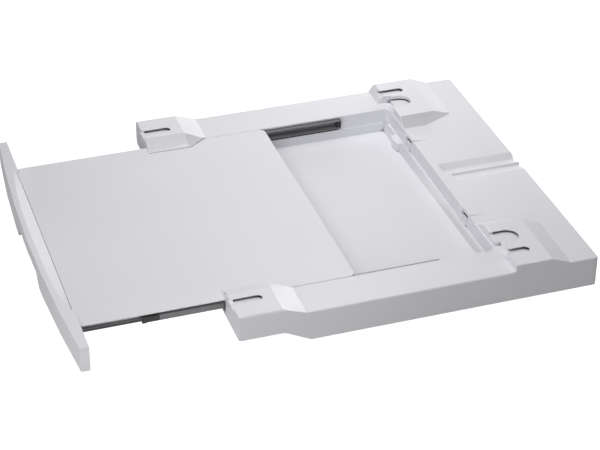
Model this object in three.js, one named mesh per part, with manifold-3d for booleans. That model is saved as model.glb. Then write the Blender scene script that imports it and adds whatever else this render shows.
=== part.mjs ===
import * as THREE from "three";
import { mergeVertices } from "three/addons/utils/BufferGeometryUtils.js";
import Module from "manifold-3d";

// Stacking kit for a washer and a dryer: a moulded frame with a pull-out shelf on ball-bearing slides.
// Lengths are millimetres. X runs across, -Y is the front, and the frame's front face lies at y = 0.

const wasm = await Module();
wasm.setup();

// Frame: outline
const frameWidth = 600;
const frameDepth = 574;
const lowTop = 49.6;
const padTop = 62.7;
const frontRaise = 20.8;
const frontRaiseEnd = 70;
const frontSlopeEnd = 111;
const skin = 3;
const ribThickness = 2.2;
const ribPitch = 76;
const rimRadius = 2.6;
const rearCornerRadius = 7;
const frontCornerRadius = 5;

// Frame: bay that the shelf slides into, between two rails and a rear bridge
const railWidth = 69;
const bridgeDepth = 144;
const ledgeHeight = 24.5;
const ledgeInset = 2;
const bayCornerRadius = 8;
const bandTopInset = 3;
const bandFarFoot = 9;
const bandNearFoot = 4;
const floorTop = 8;
const floorSlopeStart = 74;
const floorSlopeEnd = 114;

// Frame: front pads with their foot slots, each inset measured in from the frame's side
const frontPadFootInset = 96;
const frontPadLipInset = 90;
const frontPadInnerInset = 62;
const frontPadFlat = 67.6;
const frontPadEnd = 103.9;
const frontPadFootEnd = 68;
const frontPadTipInset = 69;
const footSlotWidth = 14;
const footSlotInset = 42;
const frontSlotEnd = 49;
const mouthSpread = 12;
const mouthDepth = 6;
const mouthBendShare = 0.3;
const slotDepth = 5.7;
const slotFloor = 2.8;
const slotLip = 1.4;
const undercut = 5;
const slotBlockMargin = 8;

// Frame: rear pads with their foot slots, insets from the frame's side and rear, starts behind the bay
const rearPadFootInset = 143;
const rearPadInnerInset = 122;
const rearPadFlatInset = 78.3;
const rearPadEndInset = 47.1;
const rearPadFootEndInset = 102;
const rearPadTipInset = 117;
const rearPadTipTopInset = 85;
const wideSlotWidth = 35;
const farPad = {
  outerFootStart: -10.5,
  outerStart: 0,
  innerStart: 2,
  ribStart: 11,
  ribInnerInset: 68,
  ribOuterInset: 48,
  slotInset: 34,
  wideInset: 70.5,
  slotReach: 40,
  wideLip: 5.6,
  wideDepth: 8.7,
};
const nearPad = {
  outerFootStart: 6,
  outerStart: 7,
  innerStart: 3,
  ribStart: 14,
  ribInnerInset: 78,
  ribOuterInset: 41,
  slotInset: 39,
  wideInset: 80.5,
  slotReach: 44,
  wideLip: 1.4,
  wideDepth: 5.7,
};

// Frame: strap slots, humps and foot columns in the rear wall
const strapSlotWidth = 21;
const strapSlotLow = 38;
const strapSlotHigh = 46;
const strapSlotReach = 8;
const farStrapInset = 172;
const nearStrapInset = 184;
const strapFaceWidth = 26;
const strapFaceReach = 1.6;
const strapFaceOffset = 7;
const humpWidth = 25;
const humpHeight = 3;
const humpLength = 26;
const humpOffset = 4;
const columnHalf = 16.5;
const columnShoulder = 14;
const columnRoot = 3;
const columnSide = 11.3;
const columnFront = 14;
const columnOffset = 41;

// Frame: hose channel across the rear bridge
const channelFar = -31;
const channelStep = 0;
const channelNear = 28;
const channelDepth = 7.6;
const channelShallow = 2.2;
const channelStepDepth = 6;
const channelFarSlope = 10;
const channelFlat = 4;
const channelStepSlope = 2;
const channelFarStart = 12;
const channelNearStart = 22;

// Slides: telescopic, with three members and two ball cages a side
const slideHeight = 15.2;
const slideCentre = 38.2;
const slideThickness = 9.7;
const slideWeb = 1;
const slideLip = 0.8;
const slideHook = 0.7;
const outerBall = 1.8;
const innerBall = 1.4;
const ballGap = 0.12;
const cageThickness = 0.4;
const cageFlange = 0.6;
const middleWeb = 0.8;
const slideFront = 3;
const slideRearSpace = 88;
const rearBumperLength = 7;
const frontStopLength = 26;
const frontStopLip = 0.9;
const cageLength = 130;
const cageStart = 100;
const ballsPerRowCount = 7;
const windowDepth = 2;
const windowHigh = 46.4;
const windowBevel = 9;

// Travel of the shelf from the closed place to the place shown
const shelfOut = 218;
const middleTravelShare = 0.59;

// Shelf board
const shelfSideGap = 0.7;
const shelfTopThickness = 3;
const shelfEdge = 2;
const shelfRearGap = 7;
const shelfCornerRadius = 10;
const shelfSkirtLow = 34.8;
const shelfSkirt = 3;
const shelfRearLip = 4;
const shelfRib = 2.2;
const shelfRibLow = 36;
const shelfRibPitch = 72;

// Front panel
const panelBackClosed = 2;
const panelEndThickness = 14;
const panelBow = 15;
const panelSkin = 3;
const panelSolidLow = 46;
const gripHalf = 77;
const gripTopHalf = 62;
const gripHigh = 41;
const bevelInset = 95;
const bevelDepth = 20;
const bevelPowerShare = 0.42;
const panelRib = 2.2;
const panelRibPitch = 74;

// Fasteners and rubber pads
const screwShank = 3;
const screwHead = 5;
const screwHeadHeight = 0.8;
const shelfScrewHead = 6;
const shelfScrewHeadHeight = 2;
const screwPoint = 1.5;
const screwRecess = 0.5;
const recessWidth = 0.8;
const frameScrewLength = 9;
const shelfScrewLength = 4;
const panelScrewLength = 12;
const bossWall = 2.6;
const slideScrewInset = 36;
const slideScrewRearInset = 24;
const panelScrewHeight = 40;
const rubberLength = 50;
const rubberWidth = 20;
const rubberProud = 0.8;
const rubberThickness = 2;
const rubberSeat = 3;
const rubberMargin = 4;
const rubberInset = 36;
const rubberFrontY = 148;
const rubberRearInset = 29;

// Clearances shared by the pieces
const seatGap = 0.3;
const runGap = 0.6;
const overrun = 5;

// Facet counts of round shapes
const roundSegments = 6;
const rimSegments = 3;
const shankSegments = 10;
const headSegments = 14;

// Solids from three.js geometry

function solidOf(geometry) {
  const bare = geometry.clone();
  bare.deleteAttribute("normal");
  bare.deleteAttribute("uv");
  const merged = mergeVertices(bare);
  const vertProperties = new Float32Array(merged.attributes.position.array);
  const triVerts = new Uint32Array(merged.index.array);
  return new wasm.Manifold(new wasm.Mesh({ numProp: 3, vertProperties, triVerts }));
}

function box(x0, x1, y0, y1, z0, z1) {
  const geometry = new THREE.BoxGeometry(x1 - x0, y1 - y0, z1 - z0);
  geometry.translate((x0 + x1) / 2, (y0 + y1) / 2, (z0 + z1) / 2);
  return solidOf(geometry);
}

function shapeOf(points) {
  return new THREE.Shape(points.map(([a, b]) => new THREE.Vector2(a, b)));
}

function extrude(shape, depth) {
  return new THREE.ExtrudeGeometry(shape, { depth, bevelEnabled: false, curveSegments: roundSegments });
}

// An outline in y and z, drawn out along x
function alongX(shape, x0, x1) {
  const geometry = extrude(shape, x1 - x0);
  const axes = [new THREE.Vector3(0, 1, 0), new THREE.Vector3(0, 0, 1), new THREE.Vector3(1, 0, 0)];
  geometry.applyMatrix4(new THREE.Matrix4().makeBasis(...axes));
  geometry.translate(x0, 0, 0);
  return solidOf(geometry);
}

// An outline in x and z, drawn out along y
function alongY(shape, y0, y1) {
  const geometry = extrude(shape, y1 - y0);
  const axes = [new THREE.Vector3(1, 0, 0), new THREE.Vector3(0, 0, 1), new THREE.Vector3(0, -1, 0)];
  geometry.applyMatrix4(new THREE.Matrix4().makeBasis(...axes));
  geometry.translate(0, y1, 0);
  return solidOf(geometry);
}

// An outline in x and y, drawn out along z
function alongZ(shape, z0, z1) {
  const geometry = extrude(shape, z1 - z0);
  geometry.translate(0, 0, z0);
  return solidOf(geometry);
}

// A solid between a lower and an upper outline with the same number of points, counter-clockwise
function loft(lower, upper, z0, z1) {
  const count = lower.length;
  const positions = [...lower.flatMap(([x, y]) => [x, y, z0]), ...upper.flatMap(([x, y]) => [x, y, z1])];
  const caps = THREE.ShapeUtils.triangulateShape(lower.map(([x, y]) => new THREE.Vector2(x, y)), []);
  const index = [];
  caps.forEach(([a, b, c]) => {
    index.push(a, c, b);
    index.push(a + count, b + count, c + count);
  });
  lower.forEach((_, i) => {
    const next = (i + 1) % count;
    index.push(i, next, next + count);
    index.push(i, next + count, i + count);
  });
  const geometry = new THREE.BufferGeometry();
  geometry.setAttribute("position", new THREE.Float32BufferAttribute(positions, 3));
  geometry.setIndex(index);
  return solidOf(geometry);
}

function cylinder(radius, length, segments) {
  return new THREE.CylinderGeometry(radius, radius, length, segments);
}

function cylinderX(radius, x0, x1, y, z, segments = shankSegments) {
  const geometry = cylinder(radius, Math.abs(x1 - x0), segments);
  geometry.rotateZ(Math.PI / 2);
  geometry.translate((x0 + x1) / 2, y, z);
  return solidOf(geometry);
}

function cylinderY(radius, y0, y1, x, z, segments = shankSegments) {
  const geometry = cylinder(radius, Math.abs(y1 - y0), segments);
  geometry.translate(x, (y0 + y1) / 2, z);
  return solidOf(geometry);
}

function union(solids) {
  return solids.reduce((whole, solid) => whole.add(solid));
}

function mirrored(solid) {
  return solid.mirror([1, 0, 0]);
}

function bothSides(solid) {
  return solid.add(mirrored(solid));
}

function meshOf(name, solid, colour, roughness, metalness) {
  const { numProp, vertProperties, triVerts } = solid.getMesh();
  const geometry = new THREE.BufferGeometry();
  geometry.setAttribute("position", new THREE.BufferAttribute(vertProperties, numProp));
  geometry.setIndex(new THREE.BufferAttribute(triVerts, 1));
  geometry.computeVertexNormals();
  const material = new THREE.MeshStandardMaterial({ color: colour, roughness, metalness });
  const mesh = new THREE.Mesh(geometry, material);
  mesh.name = name;
  return mesh;
}

const whitePlastic = (name, solid) => meshOf(name, solid, 0xe3e4e8, 0.45, 0);
const blackPlastic = (name, solid) => meshOf(name, solid, 0x16161a, 0.55, 0);
const blackRubber = (name, solid) => meshOf(name, solid, 0x242428, 0.9, 0);
const darkSteel = (name, solid) => meshOf(name, solid, 0x4a4a4f, 0.4, 0.85);
const brightSteel = (name, solid) => meshOf(name, solid, 0xa9abb0, 0.35, 0.95);

// Frame: places that follow its width and depth

const frameHalf = frameWidth / 2;
const bayHalf = frameHalf - railWidth;
const bayRear = frameDepth - bridgeDepth;
const slideRear = bayRear - slideRearSpace;

function fromSide(inset) {
  return frameHalf - inset;
}

// Frame: outer body

// Plan of the frame with rounded corners, drawn in from the outside by an inset
function framePlan(inset) {
  const half = frameHalf - inset;
  const rear = frameDepth - inset;
  const shape = new THREE.Shape();
  shape.moveTo(-half + frontCornerRadius, inset);
  shape.lineTo(half - frontCornerRadius, inset);
  shape.quadraticCurveTo(half, inset, half, inset + frontCornerRadius);
  shape.lineTo(half, rear - rearCornerRadius);
  shape.quadraticCurveTo(half, rear, half - rearCornerRadius, rear);
  shape.lineTo(-half + rearCornerRadius, rear);
  shape.quadraticCurveTo(-half, rear, -half, rear - rearCornerRadius);
  shape.lineTo(-half, inset + frontCornerRadius);
  shape.quadraticCurveTo(-half, inset, -half + frontCornerRadius, inset);
  return shape;
}

// A soft step from one height to another, as a shape's next stretch
function softStep(shape, y0, z0, y1, z1) {
  const middle = (y0 + y1) / 2;
  shape.bezierCurveTo(middle, z0, middle, z1, y1, z1);
}

// A quarter round of the rims, as a shape's next stretch, about a centre and from one angle to another
function rimArc(shape, x, y, from, to) {
  for (let i = 0; i <= rimSegments; i += 1) {
    const angle = from + ((to - from) * i) / rimSegments;
    shape.lineTo(x + rimRadius * Math.cos(angle), y + rimRadius * Math.sin(angle));
  }
}

// The section across the frame at one height, its two upper rims rounded
function roundedAcross(half, top, y0, y1) {
  const shape = new THREE.Shape();
  shape.moveTo(-half, -overrun);
  shape.lineTo(half, -overrun);
  rimArc(shape, half - rimRadius, top - rimRadius, 0, Math.PI / 2);
  rimArc(shape, -half + rimRadius, top - rimRadius, Math.PI / 2, Math.PI);
  return alongY(shape, y0, y1);
}

function lowBody() {
  const side = new THREE.Shape();
  side.moveTo(0, frontRaise);
  side.lineTo(frontRaiseEnd, frontRaise);
  softStep(side, frontRaiseEnd, frontRaise, frontSlopeEnd, 0);
  side.lineTo(frameDepth, 0);
  rimArc(side, frameDepth - rimRadius, lowTop - rimRadius, 0, Math.PI / 2);
  side.lineTo(0, lowTop);
  const body = alongX(side, -frameHalf, frameHalf).intersect(alongZ(framePlan(0), 0, lowTop));
  return body.intersect(roundedAcross(frameHalf, lowTop, 0, frameDepth));
}

// Front pad of the right side, with a skirt that slants down over the shelf's edge
function frontPad(inset) {
  const top = padTop - inset;
  const side = new THREE.Shape();
  side.moveTo(inset, ledgeHeight);
  rimArc(side, inset + rimRadius, top - rimRadius, Math.PI, Math.PI / 2);
  side.lineTo(frontPadFlat - inset, top);
  softStep(side, frontPadFlat - inset, top, frontPadEnd - inset, lowTop - inset);
  side.lineTo(frontPadEnd - inset, ledgeHeight);
  const outer = fromSide(inset);
  const foot = fromSide(frontPadFootInset) + inset;
  const inner = fromSide(frontPadInnerInset) + inset;
  const tip = fromSide(frontPadTipInset) + inset;
  const lower = [
    [foot, inset],
    [outer, inset],
    [outer, frontPadEnd],
    [tip, frontPadEnd],
    [foot, frontPadFootEnd],
  ];
  const upper = [
    [inner, inset],
    [outer, inset],
    [outer, frontPadEnd],
    [tip + inner - foot, frontPadEnd],
    [inner, frontPadFootEnd],
  ];
  const below = box(bayHalf + skin, outer, inset, frontPadEnd, ledgeHeight, lowTop);
  const skirt = loft(lower, upper, lowTop, padTop).add(below);
  const across = roundedAcross(outer, top, 0, frontPadEnd);
  const body = alongX(side, foot - inset, outer).intersect(skirt).intersect(across);
  return body.subtract(box(0, fromSide(frontPadLipInset), -overrun, frontPadEnd, 0, padTop));
}

// Rear pad of one side: the rib between its two slots is set back, and its outer part has its own front
function rearPad(pad, inset) {
  const top = padTop - inset;
  const flat = frameDepth - rearPadFlatInset;
  const end = frameDepth - rearPadEndInset;
  const innerFront = bayRear + pad.innerStart + inset;
  const outerFront = bayRear + pad.outerStart + inset;
  const outerFoot = bayRear + pad.outerFootStart + inset;
  const side = new THREE.Shape();
  side.moveTo(Math.min(innerFront, outerFoot), ledgeHeight);
  side.lineTo(Math.min(innerFront, outerFoot), top);
  side.lineTo(flat - inset, top);
  side.lineTo(end - inset, lowTop - inset);
  side.lineTo(end - inset, ledgeHeight);
  const outer = fromSide(inset);
  const foot = fromSide(rearPadFootInset) + inset;
  const inner = fromSide(rearPadInnerInset) + inset;
  const split = fromSide(pad.ribOuterInset) + (pad.outerStart < pad.innerStart ? inset : -inset);
  const lower = [
    [foot, innerFront],
    [split, innerFront],
    [split, outerFoot],
    [outer, outerFoot],
    [outer, end],
    [fromSide(rearPadTipInset) + inset, end],
    [foot, frameDepth - rearPadFootEndInset],
  ];
  const upper = [
    [inner, innerFront],
    [split, innerFront],
    [split, outerFront],
    [outer, outerFront],
    [outer, end],
    [fromSide(rearPadTipTopInset) + inset, end],
    [inner, flat],
  ];
  const ribFront = bayRear + pad.ribStart;
  const below = box(fromSide(rearPadTipInset), outer, ribFront, end, ledgeHeight, lowTop);
  const skirt = loft(lower, upper, lowTop, padTop).add(below);
  const across = roundedAcross(outer, top, 0, end);
  const body = alongX(side, foot - inset, outer).intersect(skirt).intersect(across);
  const ribX = [fromSide(pad.ribInnerInset) - inset, fromSide(pad.ribOuterInset) + inset];
  return body.subtract(box(...ribX, 0, ribFront + inset, lowTop - inset, padTop));
}

function pads(inset) {
  return union([bothSides(frontPad(inset)), rearPad(nearPad, inset), mirrored(rearPad(farPad, inset))]);
}

// Frame: bay, its floor and the slide windows

const bayTop = lowTop + runGap;

function bayPlan() {
  const radius = bayCornerRadius;
  const shape = new THREE.Shape();
  shape.moveTo(-bayHalf, -overrun);
  shape.lineTo(bayHalf, -overrun);
  shape.lineTo(bayHalf, bayRear - radius);
  shape.absarc(bayHalf - radius, bayRear - radius, radius, 0, Math.PI / 2, false);
  shape.lineTo(-bayHalf + radius, bayRear);
  shape.absarc(-bayHalf + radius, bayRear - radius, radius, Math.PI / 2, Math.PI, false);
  return shape;
}

// The lower wall at the bay's rear leans forward to its foot
function rearBand() {
  const half = bayHalf;
  const lower = [
    [-half, bayRear - bandFarFoot],
    [half, bayRear - bandNearFoot],
    [half, bayRear + skin],
    [-half, bayRear + skin],
  ];
  const upper = [
    [-half, bayRear - bandTopInset],
    [half, bayRear - bandTopInset],
    [half, bayRear + skin],
    [-half, bayRear + skin],
  ];
  return loft(lower, upper, floorTop - skin / 2, ledgeHeight);
}

function bay() {
  const upper = alongZ(bayPlan(), ledgeHeight, bayTop);
  const lowerHalf = bayHalf - ledgeInset;
  const side = new THREE.Shape();
  side.moveTo(floorSlopeStart, ledgeHeight);
  softStep(side, floorSlopeStart, ledgeHeight, floorSlopeEnd, floorTop);
  side.lineTo(bayRear, floorTop);
  side.lineTo(bayRear, ledgeHeight + seatGap);
  side.lineTo(floorSlopeStart, ledgeHeight + seatGap);
  const lower = alongX(side, -lowerHalf, lowerHalf).intersect(alongZ(bayPlan(), 0, lowTop));
  return upper.add(lower).subtract(rearBand());
}

function slideWindows(grow) {
  const half = bayHalf + windowDepth + grow;
  const end = slideRear + runGap + grow;
  const outline = shapeOf([
    [-half, -overrun],
    [half, -overrun],
    [half, end],
    [bayHalf, end + windowBevel],
    [-bayHalf, end + windowBevel],
    [-half, end],
  ]);
  return alongZ(outline, ledgeHeight - grow, windowHigh + grow);
}

function hollowExclusion() {
  const half = bayHalf + skin;
  const floorUnder = floorTop - skin;
  const around = box(-half, half, -overrun, bayRear + skin, floorUnder, bayTop + skin);
  const beam = box(-half, half, -overrun, floorSlopeEnd + skin, -overrun, floorUnder);
  return union([around, beam, slideWindows(skin)]);
}

// Frame: foot slots

function slotShape(centre, width, front, end, grow) {
  const radius = width / 2 + grow;
  const shape = new THREE.Shape();
  shape.moveTo(centre - radius, front);
  shape.lineTo(centre + radius, front);
  shape.lineTo(centre + radius, end - width / 2);
  shape.absarc(centre, end - width / 2, radius, 0, Math.PI, false);
  return shape;
}

function footSlot(centre, width, front, end, lip, depth) {
  const floor = padTop - depth;
  const opening = alongZ(slotShape(centre, width, front - overrun, end, 0), floor, padTop + overrun);
  const pocket = alongZ(slotShape(centre, width, front + mouthDepth, end, undercut), floor, padTop - lip);
  return opening.add(pocket);
}

function slotMouth(centre, width, front) {
  const half = width / 2;
  const wide = half + mouthSpread;
  const bend = half + mouthSpread * mouthBendShare;
  const bendEnd = front + mouthDepth * mouthBendShare;
  const outline = shapeOf([
    [centre - wide, front - overrun],
    [centre + wide, front - overrun],
    [centre + wide, front],
    [centre + bend, bendEnd],
    [centre + half, front + mouthDepth],
    [centre - half, front + mouthDepth],
    [centre - bend, bendEnd],
    [centre - wide, front],
  ]);
  return alongZ(outline, padTop - slotDepth, padTop + overrun);
}

// The slots of one side's rear pad
function rearSlots(pad) {
  const front = bayRear + Math.min(pad.outerFootStart, pad.innerStart);
  const end = bayRear + pad.slotReach;
  const outer = footSlot(fromSide(pad.slotInset), footSlotWidth, front, end, slotLip, slotDepth);
  const wide = footSlot(fromSide(pad.wideInset), wideSlotWidth, front, end, pad.wideLip, pad.wideDepth);
  return outer.add(wide);
}

function allSlots() {
  const centre = fromSide(footSlotInset);
  const front = footSlot(centre, footSlotWidth, 0, frontSlotEnd, slotLip, slotDepth);
  const frontPair = bothSides(front.add(slotMouth(centre, footSlotWidth, 0)));
  return union([frontPair, rearSlots(nearPad), mirrored(rearSlots(farPad))]);
}

// Solid stretches under the slots that hold their floors
function rearSlotBlock(pad) {
  const inner = fromSide(pad.wideInset) - wideSlotWidth / 2 - slotBlockMargin;
  const outer = fromSide(pad.slotInset) + footSlotWidth / 2 + slotBlockMargin;
  const front = bayRear + pad.outerFootStart;
  const end = bayRear + pad.slotReach + slotBlockMargin;
  const low = padTop - Math.max(pad.wideDepth, slotDepth) - slotFloor;
  return box(inner, outer, front, end, low, padTop);
}

function slotBlocks() {
  const centre = fromSide(footSlotInset);
  const reach = footSlotWidth / 2 + slotBlockMargin;
  const low = padTop - slotDepth - slotFloor;
  const end = frontSlotEnd + slotBlockMargin;
  const front = box(centre - reach, centre + reach, 0, end, low, padTop);
  return union([bothSides(front), rearSlotBlock(nearPad), mirrored(rearSlotBlock(farPad))]);
}

// Frame: strap slots, humps and columns in the rear wall

function strapSlot(centre) {
  const half = strapSlotWidth / 2;
  const rear = bayRear + strapSlotReach;
  return box(centre - half, centre + half, bayRear - overrun, rear, strapSlotLow, strapSlotHigh);
}

// A raised lip over a strap slot, falling away to the rear
function strapHump(centre) {
  const middle = centre + humpOffset;
  const outline = shapeOf([
    [bayRear, lowTop - skin],
    [bayRear + humpLength, lowTop - skin],
    [bayRear + humpLength, lowTop],
    [bayRear, lowTop + humpHeight],
  ]);
  return alongX(outline, middle - humpWidth / 2, middle + humpWidth / 2);
}

// The face that stands out from the upper wall below a strap slot
function strapFace(centre) {
  const middle = centre - strapFaceOffset;
  const half = strapFaceWidth / 2;
  const front = bayRear - strapFaceReach;
  return box(middle - half, middle + half, front, bayRear + skin, ledgeHeight, strapSlotHigh);
}

// A blunt column on the bay's floor, against the foot of the rear wall
function footColumn(centre) {
  const middle = centre - columnOffset;
  const outline = shapeOf([
    [middle - columnHalf, bayRear],
    [middle - columnHalf, bayRear - columnRoot],
    [middle - columnShoulder, bayRear - columnSide],
    [middle, bayRear - columnFront],
    [middle + columnShoulder, bayRear - columnSide],
    [middle + columnHalf, bayRear - columnRoot],
    [middle + columnHalf, bayRear],
  ]);
  return alongZ(outline, floorTop - skin / 2, ledgeHeight);
}

// Frame: hose channel

function hoseChannel() {
  const top = lowTop + overrun;
  const rear = frameDepth + overrun;
  const deep = lowTop - channelDepth;
  const far = shapeOf([
    [channelFar, top],
    [channelFar, lowTop],
    [channelFar + channelFarSlope, deep],
    [channelFar + channelFarSlope + channelFlat, deep],
    [channelStep, lowTop - channelShallow],
    [channelStep, top],
  ]);
  const near = shapeOf([
    [channelStep, top],
    [channelStep, lowTop - channelShallow],
    [channelStep + channelStepSlope, lowTop - channelStepDepth],
    [channelStep + channelStepSlope + channelFlat, lowTop - channelStepDepth],
    [channelNear, lowTop],
    [channelNear, top],
  ]);
  return alongY(far, bayRear + channelFarStart, rear).add(alongY(near, bayRear + channelNearStart, rear));
}

function channelUnderside() {
  const low = lowTop - channelDepth - skin;
  const side = shapeOf([
    [channelFar - skin, lowTop],
    [channelFar + channelFarSlope - skin, low],
    [channelStep + channelStepSlope + channelFlat + skin, low],
    [channelNear + skin, lowTop],
  ]);
  return alongY(side, bayRear + channelFarStart - skin, frameDepth);
}

// Places of the screws that hold the cabinet members and the drawer members
function slideScrewPlaces(front, rear) {
  return [front + slideScrewInset, (front + rear) / 2, rear - slideScrewRearInset];
}

const cabinetScrewPlaces = slideScrewPlaces(slideFront, slideRear);
const slideBack = bayHalf + windowDepth - seatGap;
const screwBossRadius = screwShank / 2 + seatGap + bossWall;

// Frame: ribs, screw bosses and seats of the rubber pads under the skin

function evenPlaces(from, to, pitch) {
  const count = Math.max(1, Math.ceil((to - from) / pitch));
  return Array.from({ length: count - 1 }, (_, i) => from + ((to - from) * (i + 1)) / count);
}

function ribGrid() {
  const across = evenPlaces(0, frameDepth, ribPitch).map((y) =>
    box(-frameHalf, frameHalf, y - ribThickness / 2, y + ribThickness / 2, 0, lowTop));
  const lengthways = evenPlaces(-frameHalf, frameHalf, ribPitch).map((x) =>
    box(x - ribThickness / 2, x + ribThickness / 2, 0, frameDepth, 0, lowTop));
  return union([...across, ...lengthways]);
}

function frameBosses() {
  const from = bayHalf;
  const to = slideBack + frameScrewLength + skin;
  return bothSides(union(cabinetScrewPlaces.map((y) =>
    cylinderX(screwBossRadius, from, to, y, slideCentre, headSegments))));
}

function frameScrewHoles() {
  const radius = screwShank / 2 + seatGap;
  const to = slideBack + frameScrewLength + seatGap;
  return bothSides(union(cabinetScrewPlaces.map((y) => cylinderX(radius, bayHalf, to, y, slideCentre))));
}

const rubberX = fromSide(rubberInset);
const rubberPlaces = [rubberFrontY, frameDepth - rubberRearInset];
const rubberTop = rubberThickness - rubberProud;

// Each seat is a web that reaches from the bay's side wall to the frame's side
function rubberSeats() {
  const halfY = rubberWidth / 2 + rubberMargin;
  const low = rubberTop + seatGap;
  const seats = rubberPlaces.map((y) => box(bayHalf, frameHalf, y - halfY, y + halfY, low, low + rubberSeat));
  return bothSides(union(seats));
}

// Room for the rubber pads, cut from the ribs that cross them
function rubberRoom() {
  const halfX = rubberLength / 2 + seatGap;
  const halfY = rubberWidth / 2 + seatGap;
  const rooms = rubberPlaces.map((y) =>
    box(rubberX - halfX, rubberX + halfX, y - halfY, y + halfY, -overrun, rubberTop + seatGap));
  return bothSides(union(rooms));
}

function frameHollow() {
  const plan = alongZ(framePlan(skin), -overrun, lowTop - skin);
  const whole = plan.add(pads(skin));
  const kept = [hollowExclusion(), ribGrid(), slotBlocks(), channelUnderside(), frameBosses(), rubberSeats()];
  return whole.subtract(union(kept));
}

function frameShell() {
  const strapCentres = [-fromSide(farStrapInset), fromSide(nearStrapInset)];
  const outer = union([lowBody(), pads(0), ...strapCentres.map(strapHump)]);
  const kept = union([footColumn(strapCentres[0]), ...strapCentres.map(strapFace)]);
  const cuts = [
    bay().subtract(kept),
    slideWindows(0),
    allSlots(),
    ...strapCentres.map(strapSlot),
    hoseChannel(),
    frameScrewHoles(),
    rubberRoom(),
    frameHollow(),
  ];
  return outer.subtract(union(cuts));
}

// Slides: sections, given from the cabinet member's back inwards and about the centre height

const cabinetInner = slideHeight / 2 - slideLip;
const outerBallRow = cabinetInner - ballGap - outerBall / 2;
const middleOuter = outerBallRow - outerBall / 2 - ballGap;
const middleInner = middleOuter - slideLip;
const innerBallRow = middleInner - ballGap - innerBall / 2;
const drawerOuter = innerBallRow - innerBall / 2 - ballGap;

const cabinetHeadRoom = slideWeb + seatGap + screwHeadHeight + seatGap;
const outerCageBack = cabinetHeadRoom;
const middleBack = outerCageBack + cageThickness + seatGap;
const innerCageBack = middleBack + middleWeb + seatGap;
const drawerBack = innerCageBack + cageThickness + seatGap;
const drawerWeb = slideThickness - slideWeb;
const cabinetMouth = slideThickness - seatGap;
const middleMouth = drawerWeb - seatGap;
const outerBallDepth = (middleBack + middleMouth) / 2;
const innerBallDepth = (drawerBack + drawerWeb) / 2;

// A section on the right side: depths from the back become x, heights become z
function slideSection(points) {
  return shapeOf(points.map(([depth, height]) => [slideBack - depth, slideCentre + height]));
}

function mirroredHeights(points) {
  return [...points, ...points.map(([depth, height]) => [depth, -height]).reverse()];
}

// A channel with its web at one depth and two lips that reach to another
function channel(web, webInside, lipEnd, outer, thickness) {
  return slideSection(mirroredHeights([
    [web, outer],
    [lipEnd, outer],
    [lipEnd, outer - thickness],
    [webInside, outer - thickness],
  ]));
}

function cabinetSection() {
  const outer = slideHeight / 2;
  return slideSection(mirroredHeights([
    [0, outer],
    [cabinetMouth, outer],
    [cabinetMouth, cabinetInner - slideHook],
    [cabinetMouth - slideHook, cabinetInner - slideHook],
    [cabinetMouth - slideHook, cabinetInner],
    [slideWeb, cabinetInner],
  ]));
}

function screwHolesX(solid, places, radius, x0, x1) {
  return solid.subtract(union(places.map((y) => cylinderX(radius, x0, x1, y, slideCentre))));
}

function cabinetMember() {
  const body = alongY(cabinetSection(), slideFront, slideRear);
  const radius = screwShank / 2 + seatGap;
  return screwHolesX(body, cabinetScrewPlaces, radius, slideBack - slideWeb - seatGap, slideBack + seatGap);
}

// Each moving piece is drawn in its closed place and then moved out by its share of the travel
const middleOut = shelfOut * middleTravelShare;
const outerCageOut = middleOut / 2;
const innerCageOut = (middleOut + shelfOut) / 2;

const middleFront = slideFront + frontStopLength + seatGap;
const middleRear = slideRear - rearBumperLength - seatGap;

function middleMember() {
  const section = channel(middleBack, middleBack + middleWeb, middleMouth, middleOuter, slideLip);
  return alongY(section, middleFront, middleRear).translate([0, -middleOut, 0]);
}

// Black stop clipped on the middle member's front end
function frontStop() {
  const section = channel(middleBack, middleBack + middleWeb, middleMouth, middleOuter, slideLip);
  const body = alongY(section, slideFront, slideFront + frontStopLength);
  const outer = middleOuter + frontStopLip;
  const collar = channel(middleBack, middleBack + middleWeb, middleMouth, outer, slideLip + frontStopLip);
  const lip = alongY(collar, slideFront, slideFront + frontStopLength / 4);
  return body.add(lip).translate([0, -middleOut, 0]);
}

function drawerMember() {
  const section = channel(slideThickness, drawerWeb, drawerBack, drawerOuter, slideLip);
  const body = alongY(section, slideFront, middleRear);
  const x0 = slideBack - slideThickness - seatGap;
  const x1 = slideBack - drawerWeb + seatGap;
  const drilled = screwHolesX(body, drawerScrewPlaces, screwShank / 2 + seatGap, x0, x1);
  return drilled.translate([0, -shelfOut, 0]);
}

const drawerScrewPlaces = slideScrewPlaces(slideFront, middleRear);

// A cage: a thin channel whose two flanges carry the rows of balls
function ballCage(back, flangeEnd, row, depth, ball, travel) {
  const section = channel(back, back + cageThickness, flangeEnd, row + cageFlange / 2, cageFlange);
  const strip = alongY(section, cageStart, cageStart + cageLength);
  const pitch = cageLength / ballsPerRowCount;
  const balls = Array.from({ length: ballsPerRowCount * 2 }, (_, i) => {
    const side = i % 2 === 0 ? 1 : -1;
    const geometry = new THREE.OctahedronGeometry(ball / 2, 1);
    const y = cageStart + pitch * (Math.floor(i / 2) + 1 / 2);
    geometry.translate(slideBack - depth, y, slideCentre + side * row);
    return solidOf(geometry);
  });
  return union([strip, ...balls]).translate([0, -travel, 0]);
}

function outerCage() {
  return ballCage(outerCageBack, middleMouth, outerBallRow, outerBallDepth, outerBall, outerCageOut);
}

function innerCage() {
  return ballCage(innerCageBack, drawerWeb - seatGap, innerBallRow, innerBallDepth, innerBall, innerCageOut);
}

// Bumper in the rear end of the cabinet member
function rearBumper() {
  const half = cabinetInner - seatGap;
  const x0 = slideBack - cabinetMouth + slideHook + seatGap;
  const x1 = slideBack - slideWeb - seatGap;
  return box(x0, x1, slideRear - rearBumperLength, slideRear, slideCentre - half, slideCentre + half);
}

// Shelf board: a flat top with a rounded rear, on a skirt and a grid of ribs

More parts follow.
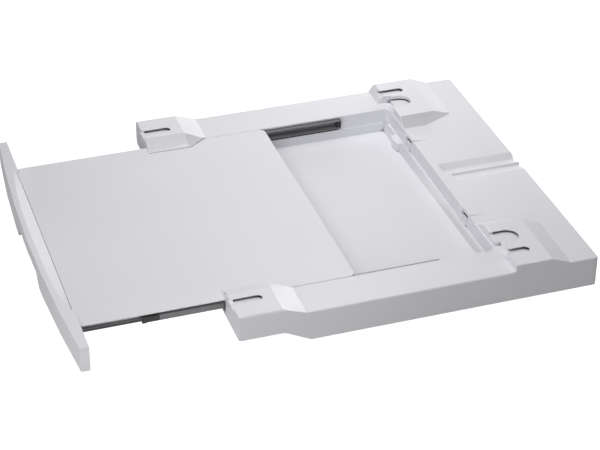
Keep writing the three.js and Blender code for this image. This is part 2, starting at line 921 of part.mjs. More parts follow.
const shelfHalf = bayHalf - shelfSideGap;
const shelfRearClosed = bayRear - shelfRearGap;
const shelfFront = -panelBackClosed + seatGap;
const skirtHalf = slideBack - slideThickness - seatGap;
const shelfInnerHalf = skirtHalf - shelfSkirt;
const shelfCellCount = Math.ceil((2 * shelfInnerHalf) / shelfRibPitch);
const shelfCellWidth = (2 * shelfInnerHalf) / shelfCellCount;

// The panel's screws sit in the middle of the two outer cells of each side, behind the front skirt
const panelScrewReaches = [0, 1].map((cell) => shelfInnerHalf - (cell + 1 / 2) * shelfCellWidth);
const panelScrewXs = [...panelScrewReaches.map((x) => -x), ...panelScrewReaches.reverse()];

function shelfPlan() {
  const radius = shelfCornerRadius;
  const cornerX = shelfHalf - radius;
  const cornerY = shelfRearClosed - radius;
  const shape = new THREE.Shape();
  shape.moveTo(-shelfHalf, shelfFront);
  shape.lineTo(shelfHalf, shelfFront);
  shape.lineTo(shelfHalf, cornerY);
  shape.absarc(cornerX, cornerY, radius, 0, Math.PI / 2, false);
  shape.lineTo(-cornerX, shelfRearClosed);
  shape.absarc(-cornerX, cornerY, radius, Math.PI / 2, Math.PI, false);
  return shape;
}

function shelfBoard() {
  const plate = alongZ(shelfPlan(), lowTop - shelfEdge, lowTop);
  const rear = shelfRearClosed - shelfRearLip;
  const core = box(-skirtHalf, skirtHalf, shelfFront, rear, shelfSkirtLow, lowTop - shelfEdge);
  const x0 = -shelfInnerHalf;
  const y0 = shelfFront + shelfSkirt;
  const y1 = rear - shelfSkirt;
  const room = box(x0, -x0, y0, y1, shelfSkirtLow - overrun, lowTop - shelfTopThickness);
  const across = evenPlaces(y0, y1, shelfRibPitch).map((y) =>
    box(x0, -x0, y - shelfRib / 2, y + shelfRib / 2, shelfRibLow, lowTop));
  const lengthways = evenPlaces(x0, -x0, shelfRibPitch).map((x) =>
    box(x - shelfRib / 2, x + shelfRib / 2, y0, y1, shelfRibLow, lowTop));
  const cells = room.subtract(union([...across, ...lengthways]));
  const radius = screwShank / 2 + seatGap;
  const sideHoles = bothSides(union(drawerScrewPlaces.map((y) =>
    cylinderX(radius, skirtHalf - shelfSkirt - overrun, skirtHalf + overrun, y, slideCentre))));
  const frontHoles = union(panelScrewXs.map((x) =>
    cylinderY(radius, shelfFront - overrun, y0 + overrun, x, panelScrewHeight)));
  const board = plate.add(core).subtract(union([cells, sideHoles, frontHoles]));
  return board.translate([0, -shelfOut, 0]);
}

// Front panel: bowed out in plan, with a grip cut under it and a bevel down to the shelf

function panelPlan(inset) {
  const half = frameHalf - inset;
  const front = -panelBackClosed - panelEndThickness + inset;
  const shape = new THREE.Shape();
  shape.moveTo(-half, -panelBackClosed);
  shape.lineTo(-half, front);
  shape.quadraticCurveTo(0, front - 2 * panelBow, half, front);
  shape.lineTo(half, -panelBackClosed);
  return shape;
}

function gripCut(grow) {
  const low = frontRaise - overrun;
  const outline = shapeOf([
    [-gripHalf - grow, low],
    [gripHalf + grow, low],
    [gripHalf + grow, frontRaise],
    [gripTopHalf + grow, gripHigh + grow],
    [-gripTopHalf - grow, gripHigh + grow],
    [-gripHalf - grow, frontRaise],
  ]);
  return alongY(outline, -frameHalf, overrun);
}

// The bevel's upper edge bows out like a lens, and its lower edge is straight along the shelf
function panelBevel() {
  const bevelHalf = fromSide(bevelInset);
  const count = roundSegments * 4;
  const places = Array.from({ length: count + 1 }, (_, i) => -Math.cos((Math.PI * i) / count));
  const bowShare = places.map((place) => Math.pow(Math.max(0, 1 - place * place), bevelPowerShare));
  const upper = places.map((place, i) => [place * bevelHalf, -panelBackClosed - bevelDepth * bowShare[i]]);
  const lower = places.map((place) => [place * bevelHalf, -panelBackClosed]);
  const close = [
    [bevelHalf, overrun],
    [-bevelHalf, overrun],
  ];
  const upperOutline = [...upper, ...close];
  const lowerOutline = [...lower, ...close];
  const slope = loft(lowerOutline, upperOutline, lowTop, padTop);
  return slope.add(alongZ(shapeOf(upperOutline), padTop, padTop + overrun));
}

function panelBosses() {
  const deep = -panelBackClosed - panelEndThickness - panelBow;
  return union(panelScrewXs.map((x) =>
    cylinderY(screwBossRadius, deep, -panelBackClosed, x, panelScrewHeight, headSegments)));
}

function frontPanel() {
  const body = alongZ(panelPlan(0), frontRaise, padTop);
  const room = alongZ(panelPlan(panelSkin), frontRaise + panelSkin, panelSolidLow);
  const back = box(-frameHalf + panelSkin, frameHalf - panelSkin, -panelBackClosed - seatGap, overrun,
    frontRaise + panelSkin, panelSolidLow);
  const ribs = evenPlaces(-frameHalf, frameHalf, panelRibPitch).map((x) =>
    box(x - panelRib / 2, x + panelRib / 2, -frameHalf, overrun, frontRaise, padTop));
  const hollow = room.add(back).subtract(union([gripCut(panelSkin), panelBosses(), ...ribs]));
  const holeEnd = -panelBackClosed - panelScrewLength;
  const holes = union(panelScrewXs.map((x) =>
    cylinderY(screwShank / 2 + seatGap, holeEnd, overrun, x, panelScrewHeight)));
  const panel = body.subtract(union([gripCut(0), panelBevel(), hollow, holes]));
  return panel.translate([0, -shelfOut, 0]);
}

// Fasteners: a flat head with a cross recess on a pointed shank, its head's underside at the origin

function screw(length, head, headHeight) {
  const radius = screwShank / 2;
  const outline = [
    [0, -length],
    [radius, -length + screwPoint],
    [radius, 0],
    [head / 2, 0],
    [head / 2, headHeight / 2],
    [head / 2 - headHeight / 2, headHeight],
    [0, headHeight],
  ].map(([r, h]) => new THREE.Vector2(r, h));
  const body = new THREE.LatheGeometry(outline, shankSegments);
  body.rotateX(Math.PI / 2);
  const half = head / 4;
  const slotHalf = recessWidth / 2;
  const low = headHeight - screwRecess;
  const top = headHeight + screwRecess;
  const across = box(-half, half, -slotHalf, slotHalf, low, top);
  const upright = box(-slotHalf, slotHalf, -half, half, low, top);
  return solidOf(body).subtract(across.add(upright));
}

// Turns a screw whose shank points along -z so that it points along a direction
function placedScrew(solid, direction, place) {
  const turn = new THREE.Quaternion().setFromUnitVectors(new THREE.Vector3(0, 0, -1), direction);
  const matrix = new THREE.Matrix4().makeRotationFromQuaternion(turn).setPosition(place);
  return solid.transform(matrix.toArray());
}

function cabinetScrew(y) {
  const head = screw(frameScrewLength, screwHead, screwHeadHeight);
  const place = new THREE.Vector3(slideBack - slideWeb - seatGap, y, slideCentre);
  return placedScrew(head, new THREE.Vector3(1, 0, 0), place);
}

function drawerScrew(y) {
  const head = screw(shelfScrewLength, shelfScrewHead, shelfScrewHeadHeight);
  const place = new THREE.Vector3(skirtHalf - shelfSkirt - seatGap, y - shelfOut, slideCentre);
  return placedScrew(head, new THREE.Vector3(1, 0, 0), place);
}

function panelScrew(x) {
  const head = screw(panelScrewLength, shelfScrewHead, shelfScrewHeadHeight);
  const place = new THREE.Vector3(x, shelfFront + shelfSkirt + seatGap - shelfOut, panelScrewHeight);
  return placedScrew(head, new THREE.Vector3(0, -1, 0), place);
}

function rubberPad(x, y) {
  const halfX = rubberLength / 2;
  const halfY = rubberWidth / 2;
  return box(x - halfX, x + halfX, y - halfY, y + halfY, -rubberProud, rubberTop);
}

// The whole kit, standing on its rubber pads with the origin under its middle

const kit = new THREE.Group();
const panelFront = -shelfOut - panelBackClosed - panelEndThickness - panelBow;
kit.position.set(0, -(frameDepth + panelFront) / 2, rubberProud);

kit.add(whitePlastic("frame_shell", frameShell()));
kit.add(whitePlastic("shelf_board", shelfBoard()));
kit.add(whitePlastic("front_panel", frontPanel()));

const rightPieces = {
  cabinet_member: [darkSteel, cabinetMember()],
  middle_member: [darkSteel, middleMember()],
  drawer_member: [darkSteel, drawerMember()],
  outer_ball_cage: [brightSteel, outerCage()],
  inner_ball_cage: [brightSteel, innerCage()],
  front_stop: [blackPlastic, frontStop()],
  rear_bumper: [blackRubber, rearBumper()],
};
Object.entries(rightPieces).forEach(([name, [material, solid]]) => {
  kit.add(material(name + "_right", solid));
  kit.add(material(name + "_left", mirrored(solid)));
});

const rowNames = ["front", "middle", "rear"];
rowNames.forEach((row, i) => {
  const cabinet = cabinetScrew(cabinetScrewPlaces[i]);
  const drawer = drawerScrew(drawerScrewPlaces[i]);
  kit.add(brightSteel("cabinet_screw_right_" + row, cabinet));
  kit.add(brightSteel("cabinet_screw_left_" + row, mirrored(cabinet)));
  kit.add(brightSteel("drawer_screw_right_" + row, drawer));
  kit.add(brightSteel("drawer_screw_left_" + row, mirrored(drawer)));
});

panelScrewXs.forEach((x, i) => {
  kit.add(brightSteel("panel_screw_" + (i + 1), panelScrew(x)));
});

rubberPlaces.forEach((y, i) => {
  const row = i === 0 ? "front" : "rear";
  kit.add(blackRubber("rubber_pad_right_" + row, rubberPad(rubberX, y)));
  kit.add(blackRubber("rubber_pad_left_" + row, rubberPad(-rubberX, y)));
});

export default kit;
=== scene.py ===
import math

import bmesh
import bpy
from mathutils import Matrix, Vector


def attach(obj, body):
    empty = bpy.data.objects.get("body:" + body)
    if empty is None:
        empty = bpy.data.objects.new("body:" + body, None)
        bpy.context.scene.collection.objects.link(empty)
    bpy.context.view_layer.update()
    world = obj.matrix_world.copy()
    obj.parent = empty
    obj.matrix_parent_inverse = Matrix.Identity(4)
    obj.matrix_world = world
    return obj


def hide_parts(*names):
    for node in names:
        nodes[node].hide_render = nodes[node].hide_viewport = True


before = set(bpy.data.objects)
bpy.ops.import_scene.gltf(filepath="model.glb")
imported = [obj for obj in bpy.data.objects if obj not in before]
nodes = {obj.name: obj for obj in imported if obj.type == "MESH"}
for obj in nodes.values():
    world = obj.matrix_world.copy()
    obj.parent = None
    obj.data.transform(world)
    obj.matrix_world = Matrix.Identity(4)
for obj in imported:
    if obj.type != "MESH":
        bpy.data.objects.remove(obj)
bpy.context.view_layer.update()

mm = 0.001

# Colours: pale and deep shade of each material
white_shades = ((0.845, 0.85, 0.885), (0.825, 0.823, 0.865))
black_shades = ((0.06, 0.06, 0.062), (0.035, 0.035, 0.037))
dark_steel_shades = ((0.29, 0.29, 0.3), (0.19, 0.19, 0.2))
bright_steel_shades = ((0.62, 0.63, 0.65), (0.48, 0.49, 0.51))
rubber_shades = ((0.05, 0.05, 0.052), (0.025, 0.025, 0.028))
floor_shades = ((0.34, 0.34, 0.34), (0.3, 0.3, 0.3))

# Shine: lowest and highest roughness, and what else the shader asks for
white_roughness = (0.33, 0.42)
black_roughness = (0.45, 0.6)
dark_steel_roughness = (0.32, 0.45)
bright_steel_roughness = (0.25, 0.38)
rubber_roughness = (0.75, 0.95)
floor_roughness = 0.9
plastic_specular = 0.5
steel_metallic = 0.85

# Patterns of noise: scale, detail and roughness
plain_noise = 0.5
cloud_pattern = (5, 4, plain_noise)
smear_pattern = (38, 5, 0.6)
grain_pattern = (2600, 2, plain_noise)
streak_pattern = (4, 4, plain_noise)
streak_stretch = (400, 6, 400)
spangle_pattern = (160, 3, plain_noise)
dust_pattern = (60, 5, 0.7)
grit_pattern = (900, 2, plain_noise)
floor_pattern = (2, 3, plain_noise)

# Where in the noise the deep shade, or the lowest roughness, ends and the pale shade, or the highest
# roughness, starts
noise_reach = (0.3, 0.7)
streak_reach = (0.25, 0.75)
dust_reach = (0.35, 0.75)

# Bumps: strength and height
white_grain = 0.05
black_grain = 0.12
grain_height = 0.06 * mm
streak_bump = (0.12, 0.05 * mm)
grit_bump = (0.3, 0.08 * mm)

# Edges of the plastic, and painted shade that darkens its colour in hollows. Each painted shade has the
# distance at which walls count, the openness where the dark ends and where the full colour starts, and the
# share of the colour that stays in the dark
edge_radius = 0.4 * mm
edge_samples = 4
hollow_samples = 8
narrow_painted_shade = (10 * mm, 0.3, 0.47, 0.01)
deep_painted_shade = (100 * mm, 0.08, 0.18, 0.02)

# Camera: seen from the right front and above, through a long lens
lens = 113.68
sensor_width = 36
camera_place = Vector((2.42936, -0.78759, 1.65718))
camera_right = Vector((0.316248, 0.948664, 0.004946))
camera_up = Vector((-0.516244, 0.167717, 0.839859))
camera_back = Vector((0.795914, -0.268157, 0.542783))
camera_reach = 100

# Lights: where each one stands, its width and its power. All of them face the target, and two of them
# fill the bay without a shadow, as white cards beside it would.
light_target = Vector((0, 0.05, 0))
studio_lights = {
    "top_softbox": (Vector((0, -0.6, 1.5)), 1.4, 9.8),
    "rear_softbox": (Vector((-0.2, 1.3, 1.0)), 1.0, 1.8),
    "far_softbox": (Vector((-0.35, 0.35, 0.9)), 0.6, 3.5),
    "near_softbox": (Vector((1.3, 0.4, 0.8)), 1.4, 2.9),
    "corner_softbox": (Vector((1.1, -0.7, 0.8)), 0.8, 4.3),
    "side_box": (Vector((1.0, -1.1, 0.2)), 0.6, 4.8),
    "far_card": (Vector((-1.3, 0.3, 0.6)), 0.8, 2.2),
    "low_card": (Vector((-1.4, 0.9, 0.15)), 0.8, 5.2),
    "rear_card": (Vector((-1.2, 1.3, 0.3)), 0.7, 1.4),
}
shadowless = ("far_softbox", "far_card")
wide_beam = math.radians(180)

# A narrow light for the slopes behind the front pads
slope_spot = (Vector((-0.76, 0.655, 0.42)), 0.2, 0.008)
slope_target = Vector((0.25, -0.075, 0.06))
slope_beam = math.radians(12)

# Background: how bright the camera sees it, and how bright the floor mirrors in the object
white_level = 1.02
floor_shine = 0.5
floor_size = 40

# Rounded edges of the mouldings: their width, and the height above which each moulding has them
frame_lowest = 26 * mm
shelf_lowest = 32 * mm
panel_lowest = 48 * mm
round_wide = 1.2 * mm
round_least = 0.25 * mm
round_segments = 3
strip_slot = 1
room_share = 0.3
straight_on = math.radians(150)
shortest_edge = 1 * mm
facing_up = 0.05
rounding_tries = 5
clear_of_fold = 5 * mm
edge_angle = math.radians(32)
merge_distance = 0.01 * mm
flat_angle = math.radians(0.6)
smooth_angle = math.radians(19)
strip_angle = math.radians(40)

# Skirts of the pads: flat in the frame, a little hollow on the real one. The steepness is that of the
# shading at the top and at the foot.
skirt_tilts = (0.8, 0.96)
skirt_lean = 0.1
least_skirt = 1000 * mm * mm
skirt_cut_shares = (0.2, 0.4, 0.6, 0.8)
far_skirt_steepness = (3.8, 3.0)
near_skirt_steepness = (1.1, 0.7)
same_way = math.radians(2)

# Slopes behind the pads, and the ones under the side walls in front
slope_tilts = (0.7, 0.9995)
slope_foot = 50 * mm
wall_foot = 25 * mm
slope_reach = 3 * mm
far_slope_share = 0.35

# Foot of the bay's rear wall: a fillet that widens into the floor towards the near side
foot_tilts = (0, 0.5)
foot_top = 26 * mm
foot_fade_start = -120 * mm
foot_fade_end = 60 * mm
foot_cut_shares = (0, 0.25, 0.5, 0.75, 1)


# Materials

def new_material(name):
    material = bpy.data.materials.new(name)
    material.use_nodes = True
    tree = material.node_tree
    shader = tree.nodes["Principled BSDF"]
    return material, tree, shader


def place_vector(tree, scale=(1, 1, 1)):
    coordinates = tree.nodes.new("ShaderNodeTexCoord")
    mapping = tree.nodes.new("ShaderNodeMapping")
    mapping.inputs["Scale"].default_value = scale
    tree.links.new(coordinates.outputs["Object"], mapping.inputs["Vector"])
    return mapping.outputs["Vector"]


def noise(tree, vector, pattern):
    scale, detail, roughness = pattern
    made = tree.nodes.new("ShaderNodeTexNoise")
    made.inputs["Scale"].default_value = scale
    made.inputs["Detail"].default_value = detail
    made.inputs["Roughness"].default_value = roughness
    tree.links.new(vector, made.inputs["Vector"])
    return made.outputs["Fac"]


def ramp(tree, factor, shades, reach):
    """A colour that goes from the deep shade to the pale one."""
    pale, deep = shades
    made = tree.nodes.new("ShaderNodeValToRGB")
    for stop, place, colour in zip(made.color_ramp.elements, reach, (deep, pale)):
        stop.position = place
        stop.color = (*colour, 1)
    tree.links.new(factor, made.inputs["Fac"])
    return made.outputs["Color"]


def spread(tree, factor, reach, levels):
    """Spreads the part of a factor within reach over the levels, and holds the ends."""
    made = tree.nodes.new("ShaderNodeMapRange")
    made.inputs["From Min"].default_value = reach[0]
    made.inputs["From Max"].default_value = reach[1]
    made.inputs["To Min"].default_value = levels[0]
    made.inputs["To Max"].default_value = levels[1]
    tree.links.new(factor, made.inputs["Value"])
    return made.outputs["Result"]


def bump(tree, height, strength, distance, normal=None):
    made = tree.nodes.new("ShaderNodeBump")
    made.inputs["Strength"].default_value = strength
    made.inputs["Distance"].default_value = distance
    tree.links.new(height, made.inputs["Height"])
    if normal is not None:
        tree.links.new(normal, made.inputs["Normal"])
    return made.outputs["Normal"]


def rounded_normal(tree, radius):
    made = tree.nodes.new("ShaderNodeBevel")
    made.samples = edge_samples
    made.inputs["Radius"].default_value = radius
    return made.outputs["Normal"]


def painted_hollow_shade(tree, shade, distance, dark_end, full_start, dark):
    """Paints shade into the colour in hollows, darker where the walls around keep the light out."""
    openness = tree.nodes.new("ShaderNodeAmbientOcclusion")
    openness.samples = hollow_samples
    openness.inputs["Distance"].default_value = distance
    share = spread(tree, openness.outputs["AO"], (dark_end, full_start), (dark, 1))
    mixed = tree.nodes.new("ShaderNodeMix")
    mixed.data_type = "RGBA"
    mixed.blend_type = "MULTIPLY"
    mixed.inputs["Factor"].default_value = 1
    tree.links.new(shade, mixed.inputs["A"])
    tree.links.new(share, mixed.inputs["B"])
    return mixed.outputs["Result"]


def moulded_plastic(name, shades, roughness, grain):
    material, tree, shader = new_material(name)
    place = place_vector(tree)
    cloud = noise(tree, place, cloud_pattern)
    shade = ramp(tree, cloud, shades, noise_reach)
    # Painted shade: the plastic's colour is darkened in narrow hollows and in deep ones
    shade = painted_hollow_shade(tree, shade, *narrow_painted_shade)
    shade = painted_hollow_shade(tree, shade, *deep_painted_shade)
    tree.links.new(shade, shader.inputs["Base Color"])
    smear = noise(tree, place, smear_pattern)
    tree.links.new(spread(tree, smear, noise_reach, roughness), shader.inputs["Roughness"])
    fine = noise(tree, place, grain_pattern)
    normal = bump(tree, fine, grain, grain_height, rounded_normal(tree, edge_radius))
    tree.links.new(normal, shader.inputs["Normal"])
    shader.inputs["Specular IOR Level"].default_value = plastic_specular
    return material


def rolled_steel(name, shades, roughness):
    material, tree, shader = new_material(name)
    along = place_vector(tree, streak_stretch)
    streaks = noise(tree, along, streak_pattern)
    place = place_vector(tree)
    spangle = noise(tree, place, spangle_pattern)
    tree.links.new(ramp(tree, streaks, shades, streak_reach), shader.inputs["Base Color"])
    tree.links.new(spread(tree, spangle, noise_reach, roughness), shader.inputs["Roughness"])
    shader.inputs["Metallic"].default_value = steel_metallic
    tree.links.new(bump(tree, streaks, *streak_bump), shader.inputs["Normal"])
    return material


def rubber_material(name, shades, roughness):
    material, tree, shader = new_material(name)
    place = place_vector(tree)
    dust = noise(tree, place, dust_pattern)
    tree.links.new(ramp(tree, dust, shades, dust_reach), shader.inputs["Base Color"])
    tree.links.new(spread(tree, dust, noise_reach, roughness), shader.inputs["Roughness"])
    grit = noise(tree, place, grit_pattern)
    tree.links.new(bump(tree, grit, *grit_bump), shader.inputs["Normal"])
    return material


white = moulded_plastic("white_plastic", white_shades, white_roughness, white_grain)
black = moulded_plastic("black_plastic", black_shades, black_roughness, black_grain)
dark_steel = rolled_steel("dark_steel", dark_steel_shades, dark_steel_roughness)
bright_steel = rolled_steel("bright_steel", bright_steel_shades, bright_steel_roughness)
rubber = rubber_material("black_rubber", rubber_shades, rubber_roughness)


def paint(piece, material):
    piece.data.materials.clear()
    piece.data.materials.append(material)


# Mouldings with rounded edges

def clean_form(source):
    """A copy of a node's mesh, with its points merged and its flat faces whole."""
    form = bmesh.new()
    form.from_mesh(source.data)
    bmesh.ops.remove_doubles(form, verts=form.verts, dist=merge_distance)
    bmesh.ops.dissolve_limit(form, angle_limit=flat_angle, verts=form.verts, edges=form.edges)
    return form


def room_beside(edge, width):
    """The width that fits beside an edge on both its faces."""
    room = width
    for face in edge.link_faces:
        loop = next(loop for loop in face.loops if loop.edge is edge)
        ends = ((loop.link_loop_prev.edge, loop.vert), (loop.link_loop_next.edge, loop.link_loop_next.vert))
        for other, vert in ends:
            along = edge.other_vert(vert).co - vert.co
            across = other.other_vert(vert).co - vert.co
            turn = along.angle(across)
            if turn < straight_on:
                room = min(room, room_share * across.length * math.sin(turn))
    return room


def edges_to_round(form, lowest, width):
    """The outer edges that are rounded, each with the width that it has room for."""
    chosen = {}
    for edge in form.edges:
        if len(edge.link_faces) != 2 or edge.calc_face_angle(0) < edge_angle:
            continue
        if min(vert.co.z for vert in edge.verts) < lowest or edge.calc_length() < shortest_edge:
            continue
        if max(face.normal.z for face in edge.link_faces) < facing_up:
            continue
        room = room_beside(edge, width)
        if room > round_least:
            chosen[edge] = room
    return chosen


def folded_places(mesh):
    """Corners of the triangles that lie over instead of under their face, where two rounded edges met."""
    mesh.calc_loop_triangles()
    places = []
    for triangle in mesh.loop_triangles:
        if triangle.normal.dot(mesh.polygons[triangle.polygon_index].normal) < 0:
            places.extend(mesh.vertices[i].co.copy() for i in triangle.vertices)
    return places


def even_normals(mesh, strips, rules):
    """Faces shade flat up to their edges, and the rounded strips blend from one face to the next."""
    near = [[] for _ in mesh.vertices]
    for polygon in mesh.polygons:
        for i in polygon.vertices:
            near[i].append(polygon)
    normals = []
    for polygon in mesh.polygons:
        in_strip = polygon.index in strips
        rule = next((shade for fits, shade in rules if not in_strip and fits(polygon, polygon.center)), None)
        for i in polygon.vertices:
            if rule:
                normals.append(rule(mesh.vertices[i].co))
                continue
            whole = [other for other in near[i] if other.index not in strips]
            limit = strip_angle if in_strip else smooth_angle
            alike = [other for other in whole if other.normal.angle(polygon.normal, 0) < limit]
            if in_strip and not whole:
                alike = near[i]
            total = sum((other.normal * other.area for other in alike), Vector())
            normals.append(total.normalized() if total.length > 0 else polygon.normal.copy())
    return normals


def cut_across(form, fits, places):
    """Cuts the faces that fit with upright planes, so that their shade can turn from cut to cut."""
    for place in places:
        parts = [face for face in form.faces if fits(face, face.calc_center_median())]
        geometry = {item for face in parts for item in (face, *face.edges, *face.verts)}
        bmesh.ops.bisect_plane(form, geom=list(geometry), plane_co=place, plane_no=(1, 0, 0),
                               dist=merge_distance)


def leans_in(face, tilts):
    """Whether a face leans as far as these bounds of its normal's height allow."""
    return tilts[0] < face.normal.z < tilts[1]


def skirt_rules(form):
    """Each pad's skirt, and the corner behind it, shades as a hollow curve from its top to its foot."""
    def is_skirt(face):
        level = abs(face.normal.y) < skirt_lean
        return leans_in(face, skirt_tilts) and level and face.calc_area() > least_skirt

    def rule(way, top, foot, steepness):
        def fits(face, centre):
            return face.normal.angle(way, 1) < same_way

        def shade(place):
            share = min(max((top - place.z) / (top - foot), 0), 1)
            steep = steepness[0] + (steepness[1] - steepness[0]) * share
            return Vector((way.x * steep, way.y * steep, way.z)).normalized()

        return fits, shade

    rules = []
    for skirt in [face for face in form.faces if is_skirt(face)]:
        top = max(skirt.verts, key=lambda vert: vert.co.z).co.copy()
        foot = min(skirt.verts, key=lambda vert: vert.co.z).co.copy()
        steepness = far_skirt_steepness if skirt.normal.x > 0 else near_skirt_steepness
        ways = [skirt.normal.copy()]
        for face in [face for edge in skirt.edges for face in edge.link_faces]:
            if is_corner(face, math.copysign(1, skirt.normal.x)):
                ways.append(face.normal.copy())
        for way in ways:
            rules.append(rule(way, top.z, foot.z, steepness))
            cut_across(form, rules[-1][0], [top.lerp(foot, share) for share in skirt_cut_shares])
    return rules


def is_slope(face, centre):
    """Whether a face belongs to the slope behind a pad."""
    level = face.normal.y > 0 and abs(face.normal.x) < skirt_lean
    return leans_in(face, slope_tilts) and level and centre.z > slope_foot


def is_corner(face, side):
    """Whether a face is the corner between a pad's skirt and its slope."""
    return leans_in(face, skirt_tilts) and face.normal.y > skirt_lean and face.normal.x * side > skirt_lean


def points_of(faces):
    return {vert for face in faces for vert in face.verts}


def height_at(profile, y):
    """The height of a line of points at one place, points given by place and height."""
    before = max(point for point in profile if point[0] <= y)
    after = min(point for point in profile if point[0] >= y)
    share = (y - before[0]) / (after[0] - before[0]) if after[0] > before[0] else 0
    return before[1] + (after[1] - before[1]) * share


def straighten(form, faces):
    """Makes one straight slope of a soft step, and takes the points close to it along."""
    profile = sorted((vert.co.y, vert.co.z) for face in faces for vert in face.verts)
    ends = [profile[0], profile[-1]]
    for vert in form.verts:
        if ends[0][0] < vert.co.y < ends[1][0]:
            soft = height_at(profile, vert.co.y)
            if abs(vert.co.z - soft) < slope_reach:
                vert.co.z += height_at(ends, vert.co.y) - soft


def straighten_front_slopes(form):
    """The steps behind the front pads, and those under the side walls, become straight slopes."""
    front = [face for face in form.faces if face.calc_center_median().y < 0]
    slopes = [face for face in front if is_slope(face, face.calc_center_median())]
    for side in (-1, 1):
        corners = [face for face in front if is_corner(face, side)]
        ridge = sorted(points_of(slopes) & points_of(corners), key=lambda vert: vert.co.y)
        first, last = ridge[0].co.copy(), ridge[-1].co.copy()
        for vert in ridge:
            vert.co.x = first.x + (last.x - first.x) * (vert.co.y - first.y) / (last.y - first.y)
    under = [face for face in front if -face.normal.z > slope_tilts[0] and face.normal.y < -skirt_lean]
    straighten(form, slopes)
    straighten(form, [face for face in under if face.calc_center_median().z < wall_foot])
    form.normal_update()
    bmesh.ops.dissolve_limit(form, angle_limit=flat_angle, verts=form.verts, edges=form.edges)


def far_slope_rule(form):
    """The slope behind the far rear pad runs out softly, so it shades with a share of its tilt."""
    def fits(face, centre):
        return is_slope(face, centre) and centre.y > 0 and centre.x < 0

    slopes = [face for face in form.faces if fits(face, face.calc_center_median())]
    way = sum((face.normal * face.calc_area() for face in slopes), Vector()).normalized()
    shaded = Vector((0, way.y * far_slope_share, way.z)).normalized()
    return fits, lambda place: shaded


def wall_foot_rule(form):
    """The foot of the bay's rear wall fades into the bay's floor towards the near side."""
    def fits(face, centre):
        upright = leans_in(face, foot_tilts) and face.normal.y < -slope_tilts[0]
        return upright and centre.y > 0 and centre.z < foot_top

    feet = [face for face in form.faces if fits(face, face.calc_center_median())]
    way = sum((face.normal * face.calc_area() for face in feet), Vector()).normalized()
    span = foot_fade_end - foot_fade_start
    cut_across(form, fits, [Vector((foot_fade_start + span * share, 0, 0)) for share in foot_cut_shares])

    def shade(place):
        share = min(max((place.x - foot_fade_start) / span, 0), 1)
        return way.lerp(Vector((0, 0, 1)), share).normalized()

    return fits, shade


def frame_rules(form):
    """Straightens the frame's front slopes, and returns the rules that shade its other faces."""
    straighten_front_slopes(form)
    return [far_slope_rule(form), wall_foot_rule(form), *skirt_rules(form)]


def moulding(source, name, material, lowest, width=round_wide, shading=None):
    """A moulding in the shape of its node, with rounded edges and even shading."""
    form = clean_form(source)
    rules = shading(form) if shading else []
    weights = form.edges.layers.float.new("bevel_weight_edge")
    for edge, room in edges_to_round(form, lowest, width).items():
        edge[weights] = room / width
    bmesh.ops.triangulate(form, faces=form.faces)
    piece = bpy.data.objects.new(name, bpy.data.meshes.new(name))
    bpy.context.scene.collection.objects.link(piece)
    paint(piece, material)
    piece.data.materials.append(material)
    rounding = piece.modifiers.new("rounding", "BEVEL")
    rounding.limit_method = "WEIGHT"
    rounding.width = width
    rounding.segments = round_segments
    rounding.use_clamp_overlap = False
    rounding.loop_slide = False
    rounding.material = strip_slot
    for _ in range(rounding_tries):
        form.to_mesh(piece.data)
        shown = piece.evaluated_get(bpy.context.evaluated_depsgraph_get())
        rounded = bpy.data.meshes.new_from_object(shown)
        folded = folded_places(rounded)
        if not folded:
            break
        for edge in form.edges:
            near = any((vert.co - place).length < clear_of_fold for vert in edge.verts for place in folded)
            if near:
                edge[weights] = 0
    form.free()
    piece.modifiers.clear()
    piece.data = rounded
    rounded.name = name
    strips = {polygon.index for polygon in rounded.polygons if polygon.material_index == strip_slot}
    for polygon in rounded.polygons:
        polygon.use_smooth = True
        polygon.material_index = 0
    rounded.normals_split_custom_set(even_normals(rounded, strips, rules))
    paint(piece, material)
    return piece


frame_piece = moulding(nodes["frame_shell"], "frame_moulding", white, frame_lowest, shading=frame_rules)
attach(frame_piece, "frame")
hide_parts("frame_shell")

shelf_piece = moulding(nodes["shelf_board"], "shelf_moulding", white, shelf_lowest)
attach(shelf_piece, "shelf")
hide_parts("shelf_board")

panel_piece = moulding(nodes["front_panel"], "panel_moulding", white, panel_lowest)
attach(panel_piece, "shelf")
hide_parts("front_panel")

for name, piece in nodes.items():
    if "member" in name or "cabinet_screw" in name:
        paint(piece, dark_steel)
    elif "cage" in name or "screw" in name:
        paint(piece, bright_steel)
    elif "stop" in name:
        paint(piece, black)
    elif "bumper" in name or "rubber" in name:
        paint(piece, rubber)


# Floor, light and camera

def area_light(name, place, size, power, target=light_target, beam=wide_beam):
    data = bpy.data.lights.new(name, "AREA")
    data.shape = "SQUARE"
    data.size = size
    data.energy = power
    data.spread = beam
    light = bpy.data.objects.new(name, data)
    data.use_shadow = name not in shadowless
    light.location = place
    light.rotation_mode = "QUATERNION"
    light.rotation_quaternion = (target - place).to_track_quat("-Z", "Y")
    bpy.context.scene.collection.objects.link(light)


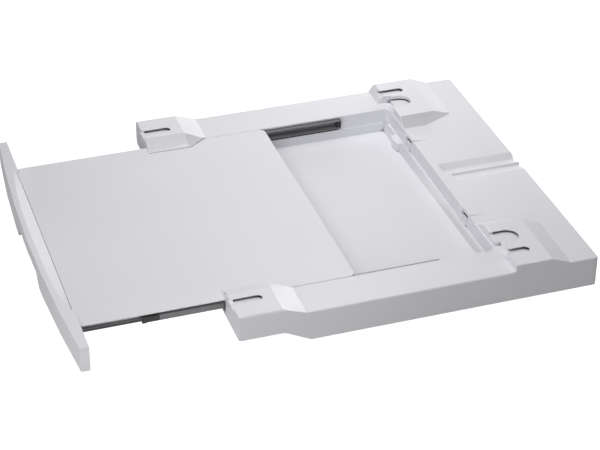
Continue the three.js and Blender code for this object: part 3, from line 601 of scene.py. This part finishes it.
def ray_strength(tree, seen, mirrored):
    """One strength for what the camera sees, one for what shines back, and none for other light."""
    path = tree.nodes.new("ShaderNodeLightPath")
    shine = tree.nodes.new("ShaderNodeMath")
    shine.operation = "MULTIPLY"
    tree.links.new(path.outputs["Is Glossy Ray"], shine.inputs[0])
    shine.inputs[1].default_value = mirrored
    chosen = tree.nodes.new("ShaderNodeMix")
    chosen.data_type = "FLOAT"
    tree.links.new(path.outputs["Is Camera Ray"], chosen.inputs["Factor"])
    tree.links.new(shine.outputs["Value"], chosen.inputs["A"])
    chosen.inputs["B"].default_value = seen
    return chosen.outputs["Result"]


for name, (place, size, power) in studio_lights.items():
    area_light(name, place, size, power)
area_light("slope_spot", *slope_spot, slope_target, slope_beam)

world = bpy.data.worlds.new("studio")
world.use_nodes = True
sky = world.node_tree.nodes["Background"]
sky.inputs["Color"].default_value = (1, 1, 1, 1)
level = ray_strength(world.node_tree, white_level, 0)
world.node_tree.links.new(level, sky.inputs["Strength"])
bpy.context.scene.world = world

half = floor_size / 2
floor_mesh = bpy.data.meshes.new("floor")
corners = [(-half, -half, 0), (half, -half, 0), (half, half, 0), (-half, half, 0)]
floor_mesh.from_pydata(corners, [], [(0, 1, 2, 3)])
floor = bpy.data.objects.new("floor", floor_mesh)
bpy.context.scene.collection.objects.link(floor)
floor_material, floor_tree, floor_shader = new_material("pale_floor")
floor_noise = noise(floor_tree, place_vector(floor_tree), floor_pattern)
floor_colour = ramp(floor_tree, floor_noise, floor_shades, noise_reach)
floor_tree.links.new(floor_colour, floor_shader.inputs["Base Color"])
floor_shader.inputs["Roughness"].default_value = floor_roughness
floor_shader.inputs["Emission Color"].default_value = (1, 1, 1, 1)
glow = ray_strength(floor_tree, white_level, floor_shine)
floor_tree.links.new(glow, floor_shader.inputs["Emission Strength"])
floor_mesh.materials.append(floor_material)

camera_data = bpy.data.cameras.new("camera")
camera_data.lens = lens
camera_data.sensor_width = sensor_width
camera_data.clip_end = camera_reach
camera = bpy.data.objects.new("camera", camera_data)
axes = Matrix((camera_right, camera_up, camera_back)).transposed().to_4x4()
camera.matrix_world = Matrix.Translation(camera_place) @ axes
bpy.context.scene.collection.objects.link(camera)
bpy.context.scene.camera = camera

bpy.context.scene.view_settings.view_transform = "Standard"
